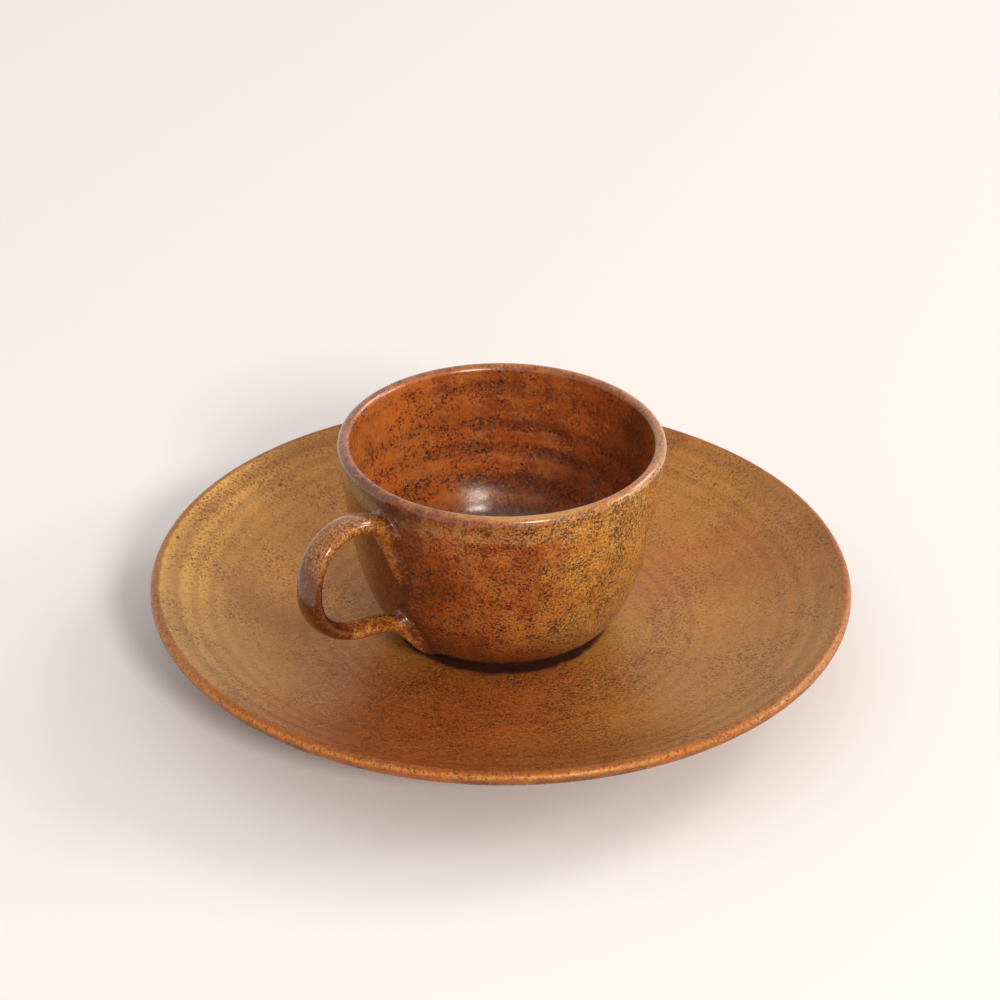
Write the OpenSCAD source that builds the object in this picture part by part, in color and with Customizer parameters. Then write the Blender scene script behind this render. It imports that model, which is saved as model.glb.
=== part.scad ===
// A small stoneware coffee cup with a pulled strap handle, standing on a wide coupe saucer.
// The origin is the middle of the saucer's foot on the table, +Z is up and the handle points to -X.

/* [Saucer] */
// Diameter over the saucer's lip
saucer_d = 165; // [150:1:190]
// Height of the saucer's lip above the table
saucer_h = 20.5; // [18:0.5:26]
// Thickness of the saucer's rounded lip
saucer_lip_t = 3.3; // [2.6:0.1:4.2]
// Thickness of the saucer's floor
saucer_floor_t = 4; // [3:0.25:5]
// Diameter of the flat middle of the saucer
saucer_flat_d = 60; // [50:1:70]
// Slope of the saucer just inside its lip, in degrees
saucer_slope = 24; // [15:1:32]
// Outer diameter of the saucer's foot ring
saucer_foot_d = 88; // [78:1:100]
// Width of the saucer's foot ring
saucer_foot_w = 5; // [3.5:0.5:7]
// Height of the saucer's foot ring
saucer_foot_h = 3; // [2:0.25:4]

/* [Cup] */
// Diameter over the cup's lip
cup_d = 75.6; // [68:0.2:86]
// Height of the cup
cup_h = 48.7; // [44:0.1:58]
// Thickness of the cup's rounded lip
cup_lip_t = 2.9; // [2.2:0.1:3.6]
// Lean of the cup's wall below the lip, in degrees
cup_lean = 5.8; // [3:0.1:9]
// Outer diameter of the cup's foot ring
cup_foot_d = 42; // [36:1:48]
// Width of the cup's foot ring
cup_foot_w = 4.5; // [3:0.5:6]
// Depth of the hollow inside the cup's foot ring
cup_foot_h = 1.3; // [0.8:0.1:2]
// Thickness of the cup's floor
cup_floor_t = 3.6; // [3:0.1:5]

/* [Handle] */
// Reach of the handle beyond the cup's lip
handle_reach = 23.3; // [18:0.1:28]
// Width of the strap at its upper root, across the pull
strap_w_top = 6.2; // [5:0.1:9]
// Width of the strap at its outermost point
strap_w_mid = 6.5; // [5:0.1:9]
// Width of the strap at its lower root
strap_w_low = 4.7; // [4:0.1:8]
// Thickness of the strap at its upper root
strap_t_top = 3.7; // [3:0.1:5]
// Thickness of the strap at its outermost point
strap_t_mid = 3.9; // [3:0.1:5]
// Thickness of the strap at its lower root
strap_t_low = 3.1; // [2.6:0.1:4.5]
// Width of the clay tails pressed onto the wall
tail_w = 6.8; // [5:0.1:9]
// Height of the tails above the wall
tail_t = 2; // [1.2:0.1:3]

/* [Hidden] */

// Smoothness: the sides of a turned shape, the points of a long curve and of a rounded edge
turn_fn = 180;
curve_steps = 22;
edge_steps = 8;

// Small roundings on the two foot rings
saucer_foot_round = 1.2;
cup_foot_round = 0.5;

// Where the handle's strap runs, as shares of the cup's height and of the handle's reach
root_top_share = 0.80;
crown_pull_share = 0.236;
side_height_share = 0.648;
side_pull_up_share = 0.30;
side_pull_down_share = 0.144;
dip_height_share = 0.358;
dip_reach_share = 0.424;
dip_pull_out_share = 0.29;
dip_pull_in_share = 0.211;
root_low_share = 0.219;
root_low_pull_share = 0.315;

// Directions of the strap, in degrees above the horizontal
root_top_angle = 49;
dip_angle = 21;
root_low_angle = 44;

// Length of clay run into the wall before the wall's own shape is cut away
bury_share = 1.0;

// Swelling of the strap where it meets the wall, and the length of strap it takes up
flare_gain_share = 0.34;
flare_len_share = 0.14;

// Corner fullness of the strap's oval section: 2 is an ellipse
oval_power = 2.3;
strap_sides = 20;
strap_steps = 15;

// The tails run down the wall, as shares of the cup's height, and swing sideways in degrees
tail_top_heights_share = [0.888, 0.79, 0.63, 0.48];
tail_top_swings = [0.4, 2.0, 6.0, 8.8];
tail_low_heights_share = [0.325, 0.27, 0.17, 0.075];
tail_low_swings = [0.8, 3.4, 7.8, 11];
tail_low_w_share = 0.82;
tail_rise_power = 0.40;
tail_fall_power = 0.60;
tail_sides = 16;
tail_steps = 18;

// Worked out from the sizes above
saucer_r = saucer_d / 2;
saucer_lip_r = saucer_lip_t / 2;
saucer_foot_r = saucer_foot_d / 2;
seat_z = saucer_foot_h + saucer_floor_t;
cup_r = cup_d / 2;
cup_lip_r = cup_lip_t / 2;
cup_foot_r = cup_foot_d / 2;
cup_floor_z = cup_foot_h + cup_floor_t;

clay = [0.55, 0.29, 0.12];
clay_light = [0.62, 0.36, 0.15];

// Point at share t along a cubic curve with the four given points
function bezier(p, t) =
    pow(1 - t, 3) * p[0] + 3 * pow(1 - t, 2) * t * p[1]
    + 3 * (1 - t) * t * t * p[2] + pow(t, 3) * p[3];

// Direction of the same curve at share t
function bezier_slope(p, t) =
    pow(1 - t, 2) * (p[1] - p[0]) + 2 * (1 - t) * t * (p[2] - p[1]) + t * t * (p[3] - p[2]);

function bezier_points(p, steps) = [for (i = [0 : steps]) bezier(p, i / steps)];

// Points on an arc, from one angle to another
function arc_points(centre, r, from, to, steps) =
    [for (i = [0 : steps]) centre + r * turned(from + (to - from) * i / steps)];

function turned(angle) = [cos(angle), sin(angle)];
function unit(v) = v / norm(v);
function without_last(list) = [for (i = [0 : len(list) - 2]) list[i]];

// Saucer: half of its section, from the flat middle out over the lip and back under to the foot
saucer_lip = [saucer_r - saucer_lip_r, saucer_h - saucer_lip_r];
saucer_lip_in = saucer_lip + saucer_lip_r * turned(90 + saucer_slope);
saucer_lip_under = saucer_lip + saucer_lip_r * turned(saucer_slope - 90);
saucer_run = saucer_r - saucer_flat_d / 2;
saucer_under_run = saucer_r - saucer_foot_r;
dish_pull_share = 0.49;
rim_pull_share = 0.30;
under_rim_pull_share = 0.34;
under_foot_pull_share = 0.36;
under_foot_rise_share = 0.13;

saucer_top = [
    [saucer_flat_d / 2, seat_z],
    [saucer_flat_d / 2 + saucer_run * dish_pull_share, seat_z],
    saucer_lip_in - saucer_run * rim_pull_share * turned(saucer_slope),
    saucer_lip_in,
];
saucer_under = [
    saucer_lip_under,
    saucer_lip_under - saucer_under_run * under_rim_pull_share * turned(saucer_slope),
    [saucer_foot_r + saucer_under_run * under_foot_pull_share,
        saucer_foot_h * (1 + under_foot_rise_share)],
    [saucer_foot_r, saucer_foot_h],
];

saucer_outline = concat(
    [[0, seat_z]],
    without_last(bezier_points(saucer_top, curve_steps)),
    arc_points(saucer_lip, saucer_lip_r, 90 + saucer_slope, saucer_slope - 90, 2 * edge_steps),
    [for (i = [1 : curve_steps]) bezier(saucer_under, i / curve_steps)],
    arc_points([saucer_foot_r - saucer_foot_round, saucer_foot_round],
        saucer_foot_round, 0, -90, edge_steps),
    arc_points([saucer_foot_r - saucer_foot_w + saucer_foot_round, saucer_foot_round],
        saucer_foot_round, -90, -180, edge_steps),
    [[saucer_foot_r - saucer_foot_w, saucer_foot_h], [0, saucer_foot_h]]
);

module saucer() {
    color(clay)
        rotate_extrude($fn = turn_fn)
            polygon(saucer_outline);
}

// Cup: the outside falls steeply from the lip and turns in quickly to the foot
wall_pull_share = 0.458;
belly_pull_share = 0.243;
belly_rise_share = 0.039;
inner_wall_pull_share = 0.54;
inner_floor_pull_share = 0.82;
inner_floor_flat_share = 0.2;

cup_lip = [cup_r - cup_lip_r, cup_h - cup_lip_r];
cup_outside = [
    [cup_foot_r, cup_foot_h],
    [cup_foot_r + cup_h * belly_pull_share, cup_h * belly_rise_share],
    [cup_r, cup_lip.y] - cup_h * wall_pull_share * turned(90 - cup_lean),
    [cup_r, cup_lip.y],
];
cup_inside = [
    [cup_r - cup_lip_t, cup_lip.y],
    [cup_r - cup_lip_t, cup_lip.y] - cup_h * inner_wall_pull_share * turned(90 - cup_lean),
    [cup_r * inner_floor_pull_share, cup_floor_z],
    [cup_r * inner_floor_flat_share, cup_floor_z],
];
cup_outside_points = bezier_points(cup_outside, curve_steps);

// The foot's outer corner and the outside wall, up to the lip
cup_shell_points = concat(
    arc_points([cup_foot_r - cup_foot_round, cup_foot_round], cup_foot_round, -90, 0, edge_steps),
    cup_outside_points
);

module cup_body() {
    hollow_r = cup_foot_r - cup_foot_w;
    color(clay_light)
        translate([0, 0, seat_z])
            rotate_extrude($fn = turn_fn)
                polygon(concat(
                    [[0, cup_foot_h], [hollow_r, cup_foot_h]],
                    arc_points([hollow_r + cup_foot_round, cup_foot_round],
                        cup_foot_round, 180, 270, edge_steps),
                    without_last(cup_shell_points),
                    arc_points(cup_lip, cup_lip_r, 0, 180, 2 * edge_steps),
                    [for (i = [1 : curve_steps]) bezier(cup_inside, i / curve_steps)],
                    [[0, cup_floor_z]]
                ));
}

// The cup's outside as a filled shape, which the handle is cut back to
module cup_filled() {
    rotate_extrude($fn = turn_fn)
        polygon(concat([[0, 0]], cup_shell_points, [[cup_r, cup_h], [0, cup_h]]));
}

// Radius of the cup's outside at a height above the cup's base
function wall_r(z) = lookup(z, [for (p = cup_outside_points) [p.y, p.x]]);

// Strap: three smooth curves in the handle's own plane, as distance from the axis and height
root_top = [wall_r(cup_h * root_top_share), cup_h * root_top_share];
strap_side = [cup_r + handle_reach - strap_t_mid / 2, cup_h * side_height_share];
strap_dip = [cup_r + handle_reach * dip_reach_share, cup_h * dip_height_share];
root_low = [wall_r(cup_h * root_low_share), cup_h * root_low_share];

strap_curves = [
    [root_top, root_top + cup_h * crown_pull_share * turned(root_top_angle),
        strap_side + [0, cup_h * side_pull_up_share], strap_side],
    [strap_side, strap_side - [0, cup_h * side_pull_down_share],
        strap_dip + handle_reach * dip_pull_out_share * turned(dip_angle), strap_dip],
    [strap_dip, strap_dip - handle_reach * dip_pull_in_share * turned(dip_angle),
        root_low + handle_reach * root_low_pull_share * turned(root_low_angle), root_low],
];

// Every station of the strap: [share of the way along, point, direction]
strap_rings = 3 * strap_steps;
strap_stations = concat(
    [station(0, root_top - bury(strap_t_top) * turned(root_top_angle), turned(root_top_angle))],
    [for (i = [0 : strap_rings]) strap_station(min(floor(i / strap_steps), 2), i)],
    [station(1, root_low - bury(strap_t_low) * turned(root_low_angle), -turned(root_low_angle))]
);

function bury(t) = t * bury_share;
function station(share, point, slope) = [share, point, unit(slope)];
function strap_station(k, i) =
    let (t = i / strap_steps - k)
    station(i / strap_rings, bezier(strap_curves[k], t), bezier_slope(strap_curves[k], t));

// A smooth value that is a at the start, b in the middle and c at the end
function blended(a, b, c, q) =
    a * (1 - q) * (1 - 2 * q) + 4 * b * q * (1 - q) + c * q * (2 * q - 1);
function flare(q) =
    let (near = max(0, 1 - min(q, 1 - q) / flare_len_share)) 1 + flare_gain_share * near * near;

// Oval section: sign-keeping power of a cosine or sine
function squared_off(v) = sign(v) * pow(abs(v), 2 / oval_power);

function strap_ring(s) =
    let (
        q = s[0],
        w = blended(strap_w_top, strap_w_mid, strap_w_low, q) * flare(q) / 2,
        t = blended(strap_t_top, strap_t_mid, strap_t_low, q) * flare(q) / 2,
        out = [-s[2].y, s[2].x]
    )
    [for (j = [0 : strap_sides - 1])
        let (
            a = 360 * j / strap_sides,
            p = s[1] + t * squared_off(sin(a)) * out
        )
        [-p.x, w * squared_off(cos(a)), p.y]];

// A closed skin over a row of rings that have the same number of points
module skin(rings) {
    sides = len(rings[0]);
    last = len(rings) - 1;
    points = [for (ring = rings) each ring];
    faces = concat(
        [[for (j = [0 : sides - 1]) sides - 1 - j]],
        [for (i = [0 : last - 1], j = [0 : sides - 1])
            let (a = i * sides + j, b = i * sides + (j + 1) % sides)
            each [[a, b, a + sides], [b, b + sides, a + sides]]],
        [[for (j = [0 : sides - 1]) last * sides + j]]
    );
    polyhedron(points, faces, convexity = 6);
}

// Tail: a tapering ridge of clay that follows the wall down and swings to one side
function along(shares, t) =
    bezier([shares[0], shares[1], shares[2], shares[3]], t);
function swell(t) =
    let (peak = tail_rise_power / (tail_rise_power + tail_fall_power))
    pow(t, tail_rise_power) * pow(1 - t, tail_fall_power)
    / (pow(peak, tail_rise_power) * pow(1 - peak, tail_fall_power));

function wall_point(z, swing, out) =
    let (r = wall_r(z) + out) [-r * cos(swing), -r * sin(swing), z];

function tail_ring(heights, swings, w, t) =
    let (
        z = cup_h * along(heights, t),
        swing = along(swings, t),
        middle = wall_point(z, swing, 0),
        ahead = wall_point(cup_h * along(heights, t + 1 / (4 * tail_steps)),
            along(swings, t + 1 / (4 * tail_steps)), 0),
        run = unit(ahead - middle),
        face = [-cos(swing), -sin(swing), 0],
        out = unit(face - (face * run) * run),
        across = cross(run, out),
        half_w = swell(t) * w / 2,
        half_t = swell(t) * tail_t
    )
    [for (j = [0 : tail_sides - 1])
        let (a = 360 * j / tail_sides)
        middle + half_w * cos(a) * across + half_t * sin(a) * out];

module tail(heights, swings, w) {
    skin([for (i = [0 : tail_steps])
        tail_ring(heights, swings, w, tail_share(i / tail_steps))]);
}

// Rings crowd towards the tail's ends, which never quite close
end_share = 0.002;
function tail_share(t) = end_share + (1 - 2 * end_share) * (1 - cos(180 * t)) / 2;

module handle() {
    color(clay)
        translate([0, 0, seat_z])
            difference() {
                union() {
                    skin([for (s = strap_stations) strap_ring(s)]);
                    tail(tail_top_heights_share, tail_top_swings, tail_w);
                    tail(tail_low_heights_share, tail_low_swings, tail_w * tail_low_w_share);
                }
                cup_filled();
            }
}

saucer();
cup_body();
handle();
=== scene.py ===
"""The looks of a small stoneware coffee cup on its saucer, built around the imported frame.

Lengths are millimetres in the frame's axes until make_object() makes the meshes in metres.
The camera looks from the front left, and the handle points to -X.
"""
import math

import bmesh
import bpy
import numpy as np
import openvdb
from mathutils import Matrix, Vector


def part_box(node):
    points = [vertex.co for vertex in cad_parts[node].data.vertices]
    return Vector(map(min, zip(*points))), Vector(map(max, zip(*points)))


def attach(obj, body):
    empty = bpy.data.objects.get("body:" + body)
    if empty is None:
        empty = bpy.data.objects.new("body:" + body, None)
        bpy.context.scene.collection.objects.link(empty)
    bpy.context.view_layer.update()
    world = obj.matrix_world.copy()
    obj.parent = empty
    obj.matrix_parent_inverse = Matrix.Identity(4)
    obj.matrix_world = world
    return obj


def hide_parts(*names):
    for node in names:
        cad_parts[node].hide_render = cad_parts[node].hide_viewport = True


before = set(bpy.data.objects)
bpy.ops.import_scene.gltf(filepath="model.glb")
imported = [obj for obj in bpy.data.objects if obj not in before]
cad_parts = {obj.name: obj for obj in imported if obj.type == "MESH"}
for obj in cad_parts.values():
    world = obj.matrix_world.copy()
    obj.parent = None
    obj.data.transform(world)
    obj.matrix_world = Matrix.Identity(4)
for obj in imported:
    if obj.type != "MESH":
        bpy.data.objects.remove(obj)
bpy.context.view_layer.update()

MM = 0.001


def corners(node):
    """The low and high corner of a CAD node's box, in millimetres."""
    return [np.array(corner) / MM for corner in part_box(node)]


saucer_high = corners("saucer")[1]
cup_low, cup_high = corners("cup_body")
handle_low, handle_high = corners("handle")

# Saucer sizes. The first two come from its CAD box
SAUCER_R = saucer_high[0]
SAUCER_H = saucer_high[2]
SAUCER_LIP_R = 1.65
SAUCER_FLAT_R = 30.0
SAUCER_SLOPE = 24.0
SAUCER_FOOT_R = 44.0
SAUCER_FOOT_W = 5.0
SAUCER_FOOT_H = 3.0
SAUCER_FOOT_ROUND = 1.2

# Pulls of the saucer's curves, as shares of their runs. The rise is a share of the foot's height
DISH_PULL = 0.49
RIM_PULL = 0.30
UNDER_RIM_PULL = 0.34
UNDER_FOOT_PULL = 0.36
UNDER_FOOT_RISE = 1.13

# Cup sizes. Heights are above the cup's own base, which stands at SEAT_Z
SEAT_Z = cup_low[2]
CUP_R = cup_high[0]
CUP_H = cup_high[2] - cup_low[2]
CUP_LIP_R = 1.45
CUP_LEAN = 5.8
CUP_FOOT_R = 21.0
CUP_FOOT_W = 4.5
CUP_FOOT_H = 1.3
CUP_FOOT_ROUND = 0.5
CUP_FLOOR_Z = 4.9

# Pulls of the cup's curves, as shares of its height, and of its radius at the floor
BELLY_PULL = 0.243
BELLY_RISE = 0.039
WALL_PULL = 0.458
INNER_WALL_PULL = 0.54
INNER_FLOOR_PULL = 0.82
INNER_FLOOR_FLAT = 0.2

# Finger marks: their spacing in millimetres and the seed of their unevenness
SAUCER_RINGS = (4.2, 3)
SAUCER_FINE_RINGS = (1.5, 4)
SAUCER_UNDER_RINGS = (5, 5)
CUP_OUTER_RINGS = (5.5, 6)
CUP_INNER_RINGS = (7.6, 7)

# Depths of the finger marks, in millimetres
SAUCER_RING_DEPTH = 0.05
SAUCER_FINE_DEPTH = 0.03
SAUCER_UNDER_DEPTH = 0.05
CUP_OUTER_DEPTH = 0.05
CUP_INNER_DEPTH = 0.15

# Fineness of the turned meshes: sides round the wheel and gaps between points on the outline
SAUCER_SIDES = 400
CUP_SIDES = 350
BROAD_GAP = 0.8
WALL_GAP = 0.5
FOOT_GAP = 0.3
SAUCER_LIP_GAP = 0.25
CUP_LIP_GAP = 0.22

# Strap sizes at the upper root, the outermost point and the lower root
HANDLE_REACH = -handle_low[0] - CUP_R
STRAP_WIDTHS = (6.2, 6.5, 4.7)
STRAP_THICKS = (3.7, 3.9, 3.1)
STRAP_POWER = 2.35
FLARE_LENGTH = 0.14
FLARE_GAIN = 0.34

# Where the strap runs: heights and upright pulls are shares of the cup's height,
# reaches and level pulls are shares of the handle's reach, and angles are degrees
ROOT_TOP = 0.80
ROOT_TOP_ANGLE = 49
CROWN_PULL = 0.236
SIDE_HEIGHT = 0.648
SIDE_PULL_UP = 0.30
SIDE_PULL_DOWN = 0.144
DIP_HEIGHT = 0.358
DIP_REACH = 0.424
DIP_ANGLE = 21
DIP_PULL_OUT = 0.29
DIP_PULL_IN = 0.211
ROOT_LOW = 0.219
ROOT_LOW_ANGLE = 44
ROOT_LOW_PULL = 0.315
STRAP_STEPS = 90

# How far each end of the strap runs on inside the wall, in millimetres and in steps
BURIED = 4
BURIED_STEPS = 12

# The clay tails: size, shares of the cup's height on the way down, and degrees swung to the side
TAIL_T = 2.7
TAIL_TOP_W = 4.0
TAIL_LOW_W = 3.6
TAIL_GAP = 0.35
TAIL_POWER = 1.8
TAIL_RISE = 0.4
TAIL_FALL = 0.6
TAIL_STEPS = 56
TAIL_END_CUT = 0.003
TAIL_TOP_HEIGHTS = (0.888, 0.79, 0.63, 0.48)
TAIL_TOP_SWINGS = (0.4, 2.0, 6.0, 8.8)
TAIL_LOW_HEIGHTS = (0.325, 0.27, 0.17, 0.075)
TAIL_LOW_SWINGS = (0.8, 3.4, 7.8, 11)

# How far the clay melts together, spreads over the wall and sinks into it,
# and the grid that it is drawn on
STRAP_FILLET = 2.0
WALL_FILLET = 1.0
SPREAD = 0.93
SINK = 0.5
VOXEL = 0.26
FIELD_LOW = np.array([handle_low[0] - 1, -10.5, 1.0])
FIELD_HIGH = np.array([-22.0, 8.0, handle_high[2] - SEAT_Z + 1.2])
SETTLING_STEPS = 4


def turned(angle):
    """The unit direction at an angle in degrees."""
    return np.array([math.cos(math.radians(angle)), math.sin(math.radians(angle))])


def bezier(points, t):
    """Points at shares t along a cubic curve."""
    p = [np.asarray(point, float) for point in points]
    t = np.atleast_1d(t)[:, None]
    return (1 - t) ** 3 * p[0] + 3 * (1 - t) ** 2 * t * p[1] + 3 * (1 - t) * t ** 2 * p[2] + t ** 3 * p[3]


def arc(centre, radius, start, end, steps=24):
    """Points on an arc between two angles in degrees."""
    return np.array([centre + radius * turned(a) for a in np.linspace(start, end, steps)])


def along_outline(outline):
    """The length of an outline up to each of its points."""
    gaps = np.hypot(*np.diff(outline, axis=0).T)
    return np.concatenate([[0], np.cumsum(gaps)])


def evenly(points, step):
    """The same outline with its points about one step apart."""
    along = along_outline(points)
    places = np.linspace(0, along[-1], max(2, int(round(along[-1] / step)) + 1))
    return np.column_stack([np.interp(places, along, points[:, k]) for k in (0, 1)])


def smooth(low, high, value):
    """0 below low, 1 above high, and an even S between."""
    t = np.clip((value - low) / (high - low), 0, 1)
    return t * t * (3 - 2 * t)


def hollow(place, middle, width, depth):
    """A soft hollow of this depth about a middle."""
    return depth * np.exp(-((place - middle) / width) ** 2)


def ripple(along, angle, spacing, seed):
    """Between 0 and 1: the marks of a potter's fingers, slightly uneven round the wheel."""
    rng = np.random.default_rng(seed)
    phase = rng.uniform(0, 2 * math.pi, 4)
    wander = 0.5 * np.sin(angle + phase[0]) + 0.3 * np.sin(2 * angle + phase[1]) + angle
    strength = 0.7 + 0.3 * np.sin(along / spacing * 0.9 + phase[2])
    return strength * (0.5 + 0.5 * np.sin(2 * math.pi * along / spacing + wander + phase[3]))


# Shapes of the turned pieces

def saucer_outline():
    """Half of the saucer's section: up the dish, over the lip and under to the foot."""
    lip = np.array([SAUCER_R - SAUCER_LIP_R, SAUCER_H - SAUCER_LIP_R])
    lip_in = lip + SAUCER_LIP_R * turned(90 + SAUCER_SLOPE)
    lip_under = lip + SAUCER_LIP_R * turned(SAUCER_SLOPE - 90)
    run = SAUCER_R - SAUCER_FLAT_R
    under_run = SAUCER_R - SAUCER_FOOT_R
    t = np.linspace(0, 1, 60)
    dish = bezier([
        (SAUCER_FLAT_R, SEAT_Z), (SAUCER_FLAT_R + DISH_PULL * run, SEAT_Z),
        lip_in - RIM_PULL * run * turned(SAUCER_SLOPE), lip_in], t)
    under = bezier([
        lip_under, lip_under - UNDER_RIM_PULL * under_run * turned(SAUCER_SLOPE),
        (SAUCER_FOOT_R + UNDER_FOOT_PULL * under_run, UNDER_FOOT_RISE * SAUCER_FOOT_H),
        (SAUCER_FOOT_R, SAUCER_FOOT_H)], t)
    ring_in = SAUCER_FOOT_R - SAUCER_FOOT_W
    top = np.vstack([[(0.0, SEAT_Z)], dish])
    lip_arc = arc(lip, SAUCER_LIP_R, 90 + SAUCER_SLOPE, SAUCER_SLOPE - 90)
    foot = np.vstack([
        arc((SAUCER_FOOT_R - SAUCER_FOOT_ROUND, SAUCER_FOOT_ROUND), SAUCER_FOOT_ROUND, 0, -90, 10),
        arc((ring_in + SAUCER_FOOT_ROUND, SAUCER_FOOT_ROUND), SAUCER_FOOT_ROUND, -90, -180, 10)])
    base = np.array([(ring_in, SAUCER_FOOT_H), (0.0, SAUCER_FOOT_H)])
    return np.vstack([
        evenly(top, BROAD_GAP), evenly(lip_arc, SAUCER_LIP_GAP)[1:], evenly(under, BROAD_GAP)[1:],
        evenly(foot, FOOT_GAP), evenly(base, BROAD_GAP)])


def cup_outside():
    """The cup's outside wall from the foot up to the widest point of the lip."""
    lip_z = CUP_H - CUP_LIP_R
    return bezier([
        (CUP_FOOT_R, CUP_FOOT_H), (CUP_FOOT_R + BELLY_PULL * CUP_H, BELLY_RISE * CUP_H),
        np.array([CUP_R, lip_z]) - WALL_PULL * CUP_H * turned(90 - CUP_LEAN),
        (CUP_R, lip_z)], np.linspace(0, 1, 80))


def cup_outline():
    """Half of the cup's section, from the middle of its base out, up and down inside."""
    lip = np.array([CUP_R - CUP_LIP_R, CUP_H - CUP_LIP_R])
    inner_top = np.array([CUP_R - 2 * CUP_LIP_R, lip[1]])
    inside = bezier([
        inner_top, inner_top - INNER_WALL_PULL * CUP_H * turned(90 - CUP_LEAN),
        (INNER_FLOOR_PULL * CUP_R, CUP_FLOOR_Z),
        (INNER_FLOOR_FLAT * CUP_R, CUP_FLOOR_Z)], np.linspace(0, 1, 80))
    hollow_r = CUP_FOOT_R - CUP_FOOT_W
    base = np.array([(0.0, CUP_FOOT_H), (hollow_r, CUP_FOOT_H)])
    foot = np.vstack([
        arc((hollow_r + CUP_FOOT_ROUND, CUP_FOOT_ROUND), CUP_FOOT_ROUND, 180, 270, 8),
        arc((CUP_FOOT_R - CUP_FOOT_ROUND, CUP_FOOT_ROUND), CUP_FOOT_ROUND, -90, 0, 8)])
    outline = np.vstack([
        evenly(base, BROAD_GAP), evenly(foot, FOOT_GAP), evenly(cup_outside(), WALL_GAP),
        evenly(arc(lip, CUP_LIP_R, 0, 180), CUP_LIP_GAP)[1:],
        evenly(inside, WALL_GAP)[1:], [(0.0, CUP_FLOOR_Z)]])
    return outline + (0, SEAT_Z)


def saucer_relief(r, z, angle, up, _outward):
    """How far the saucer's surface is drawn in from its plain turned shape."""
    lip = SAUCER_R - SAUCER_LIP_R
    groove = hollow(r, middle=lip - 1.7, width=0.9, depth=0.26)
    on_slope = smooth(SAUCER_FLAT_R, SAUCER_FLAT_R + 12, r)
    near_lip = smooth(lip - 16, lip - 6, r)
    rings = SAUCER_RING_DEPTH * on_slope * ripple(r, angle, *SAUCER_RINGS)
    fine = SAUCER_FINE_DEPTH * near_lip * ripple(r, angle, *SAUCER_FINE_RINGS)
    inside = smooth(SAUCER_R, lip, r + 0.8)
    under = SAUCER_UNDER_DEPTH * ripple(r, angle, *SAUCER_UNDER_RINGS) * (z > SAUCER_FOOT_H)
    return (up > 0.2) * inside * (groove + rings + fine) + (up < -0.3) * under


def cup_outside_relief(height, angle):
    """The same for the cup's outside: a shallow neck below the lip and faint finger marks."""
    neck = hollow(height, middle=CUP_H - 4.2, width=1.3, depth=0.08)
    marks = CUP_OUTER_DEPTH * smooth(3, 10, height) * (1 - smooth(CUP_H - 7, CUP_H - 4, height))
    return neck + marks * ripple(height, angle, *CUP_OUTER_RINGS)


def cup_rings(r, height, angle):
    """The spiral of finger marks inside the cup, between 0 and 1."""
    down = 0.9 * (CUP_H - height) + 0.5 * (CUP_R - r)
    return ripple(down + 0.9 * np.sin(down / 3.1), angle, *CUP_INNER_RINGS)


def cup_relief(r, z, angle, up, outward):
    """How far the cup's surface is drawn in from its plain turned shape."""
    height = z - SEAT_Z
    outside = (outward > 0.25) & (height > CUP_FOOT_H)
    above_floor = (height > CUP_FLOOR_Z - 0.6) & (r < CUP_R - 1.6 * CUP_LIP_R)
    inside = (outward < 0.3) & (up > -0.3) & above_floor
    rings = CUP_INNER_DEPTH * smooth(CUP_H - 2, CUP_H - 8, height) * cup_rings(r, height, angle)
    return outside * cup_outside_relief(height, angle) + inside * rings


def make_object(name, points, faces):
    """A smooth-shaded mesh object from points in millimetres, with its faces turned outwards."""
    mesh = bpy.data.meshes.new(name)
    mesh.from_pydata((np.asarray(points) * MM).tolist(), [], faces)
    mesh.update()
    mesh.polygons.foreach_set("use_smooth", np.ones(len(mesh.polygons), bool))
    piece = bpy.data.objects.new(name, mesh)
    bpy.context.scene.collection.objects.link(piece)
    work = bmesh.new()
    work.from_mesh(mesh)
    bmesh.ops.recalc_face_normals(work, faces=work.faces)
    work.to_mesh(mesh)
    work.free()
    return piece


def lathe_faces(rows, sides):
    """Faces of a turned surface: point 0, then rows of points round the wheel, then the last point."""
    faces = []
    for i in range(rows - 1):
        for j in range(sides):
            a, b = 1 + i * sides + j, 1 + i * sides + (j + 1) % sides
            faces.append((a, b, b + sides, a + sides))
    last_row = 1 + (rows - 1) * sides
    last = 1 + rows * sides
    for j in range(sides):
        k = (j + 1) % sides
        faces.append((0, 1 + k, 1 + j))
        faces.append((last, last_row + j, last_row + k))
    return faces


def lathe(name, outline, sides, relief):
    """Turns an outline that starts and ends on the axis, and draws its surface in by the relief."""
    slope = np.gradient(outline, axis=0)
    slope /= np.maximum(np.hypot(slope[:, 0], slope[:, 1]), 1e-9)[:, None]
    out = np.column_stack([slope[:, 1], -slope[:, 0]])
    if np.sum(outline[:-1, 0] * outline[1:, 1] - outline[1:, 0] * outline[:-1, 1]) < 0:
        out = -out
    outward, up = out[1:-1, 0][:, None], out[1:-1, 1][:, None]
    angle = np.linspace(0, 2 * math.pi, sides, endpoint=False)
    ring = outline[1:-1]
    r = ring[:, None, 0] + 0 * angle
    z = ring[:, None, 1] + 0 * angle
    depth = relief(r, z, angle[None, :], up, outward)
    r = r - depth * outward
    z = z - depth * up
    body = np.stack([r * np.cos(angle), r * np.sin(angle), z], axis=-1).reshape(-1, 3)
    points = np.vstack([[(0, 0, outline[0, 1])], body, [(0, 0, outline[-1, 1])]])
    return make_object(name, points, lathe_faces(len(ring), sides))


# The handle: strap, tails and wall melt into each other, so it is drawn as a distance field

OUTSIDE = cup_outside()
WALL_SLOPE = np.gradient(OUTSIDE[:, 0], OUTSIDE[:, 1])


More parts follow.
